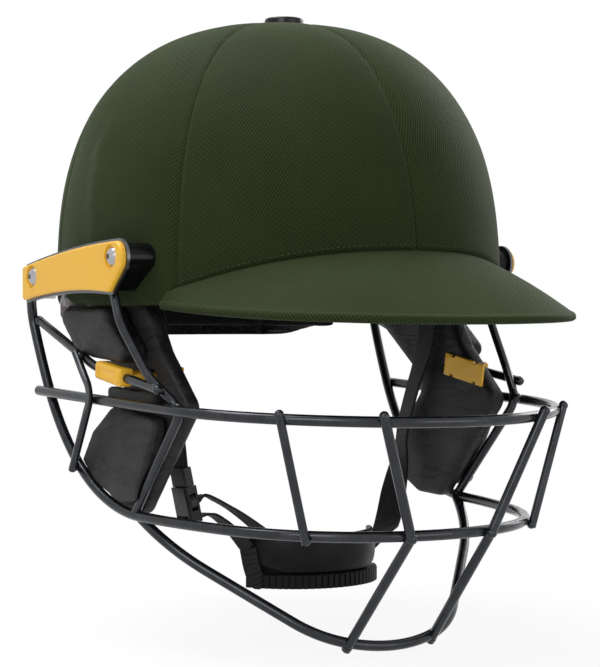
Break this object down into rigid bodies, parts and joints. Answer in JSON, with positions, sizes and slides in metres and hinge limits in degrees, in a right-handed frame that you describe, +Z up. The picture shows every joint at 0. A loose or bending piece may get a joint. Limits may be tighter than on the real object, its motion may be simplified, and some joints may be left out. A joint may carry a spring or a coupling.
{
  "type": "cricket helmet",
  "caption": "Cloth-covered batting helmet with a peak, a welded wire face guard, padded cheek guards and a swinging chin strap with a side-release buckle.",
  "frame": {"origin": "on the symmetry plane, in the middle of the head opening, level with the side rim", "axes": "+X to the wearer's left, -Y forward, +Z up to the crown"},
  "size_m": [0.232, 0.2961, 0.3059],
  "materials": {
    "cap_cloth": "matt twill",
    "peak_cloth": "matt twill",
    "peak_board": "matt",
    "shell": "moulded, satin",
    "liner_foam": "fine beaded foam",
    "comfort_foam": "brushed cloth over soft foam",
    "spacer": "moulded, satin",
    "plate_steel": "satin",
    "yellow_plastic": "moulded, satin",
    "bright_steel": "polished",
    "guard_wire": "satin grey coating",
    "pad_leather": "fine grain",
    "webbing": "woven",
    "cup_plastic": "moulded",
    "cup_rubber": "ribbed",
    "buckle_black": "moulded",
    "buckle_grey": "moulded"
  },
  "bodies": {
    "helmet": {"left_front_panel": "cap_cloth", "left_side_panel": "cap_cloth", "left_rear_panel": "cap_cloth", "right_rear_panel": "cap_cloth", "right_side_panel": "cap_cloth", "right_front_panel": "cap_cloth", "peak_cover": "peak_cloth", "peak_board": "peak_board", "outer_shell": "shell", "impact_liner": "liner_foam", "brow_pad": "comfort_foam", "rear_pad": "comfort_foam", "crown_pad": "comfort_foam", "left_temple_pad": "comfort_foam", "right_temple_pad": "comfort_foam", "left_side_block": "spacer", "right_side_block": "spacer", "crown_button": "spacer", "left_backing_plate": "plate_steel", "right_backing_plate": "plate_steel", "left_cover_plate": "yellow_plastic", "right_cover_plate": "yellow_plastic", "left_pad_clip": "yellow_plastic", "right_pad_clip": "yellow_plastic", "left_clip_plate": "yellow_plastic", "right_clip_plate": "yellow_plastic", "side_screws": "bright_steel", "side_nuts": "bright_steel", "crown_nut": "bright_steel", "strap_rivets": "bright_steel", "upper_bar": "guard_wire", "lower_bar": "guard_wire", "chin_bar": "guard_wire", "left_centre_upright": "guard_wire", "right_centre_upright": "guard_wire", "left_outer_upright": "guard_wire", "right_outer_upright": "guard_wire", "left_cheek_wire": "guard_wire", "right_cheek_wire": "guard_wire", "left_diagonal_wire": "guard_wire", "right_diagonal_wire": "guard_wire", "left_side_wire": "guard_wire", "right_side_wire": "guard_wire", "left_cheek_pad": "pad_leather", "right_cheek_pad": "pad_leather", "left_upper_outer_pad": "pad_leather", "right_upper_outer_pad": "pad_leather", "left_middle_outer_pad": "pad_leather", "right_middle_outer_pad": "pad_leather", "left_lower_outer_pad": "pad_leather", "right_lower_outer_pad": "pad_leather"},
    "chin_strap": {"left_strap": "webbing", "chin_cup": "cup_plastic", "chin_cup_liner": "cup_rubber", "cup_straps": "webbing", "buckle_housing": "buckle_black"},
    "right_strap": {"right_strap": "webbing", "buckle_insert": "buckle_grey"},
    "front_prong": {"front_prong": "buckle_grey"},
    "rear_prong": {"rear_prong": "buckle_grey"}
  },
  "joints": [
    {"name": "chin_strap_swing", "type": "hinge", "parent": "helmet", "child": "chin_strap", "pos_m": [0, -0.014, 0.013], "axis": [1, 0, 0], "range_deg": [-30, 45]},
    {"name": "right_strap_swing", "type": "hinge", "parent": "helmet", "child": "right_strap", "pos_m": [0, -0.014, 0.013], "axis": [1, 0, 0], "range_deg": [-30, 45]},
    {"name": "front_prong_squeeze", "type": "hinge", "parent": "right_strap", "child": "front_prong", "pos_m": [-0.06987, -0.02408, -0.08478], "axis": [0.9833, 0, 0.1819], "range_deg": [0, 9], "stiffness_Nm_per_rad": 0.02},
    {"name": "rear_prong_squeeze", "type": "hinge", "parent": "right_strap", "child": "rear_prong", "pos_m": [-0.06978, -0.0157, -0.08528], "axis": [-0.9833, 0, -0.1819], "range_deg": [0, 9], "stiffness_Nm_per_rad": 0.02}
  ],
  "couplings": [
    {"joint": "right_strap_swing", "follows": "chin_strap_swing", "ratio": 1},
    {"joint": "rear_prong_squeeze", "follows": "front_prong_squeeze", "ratio": 1}
  ]
}
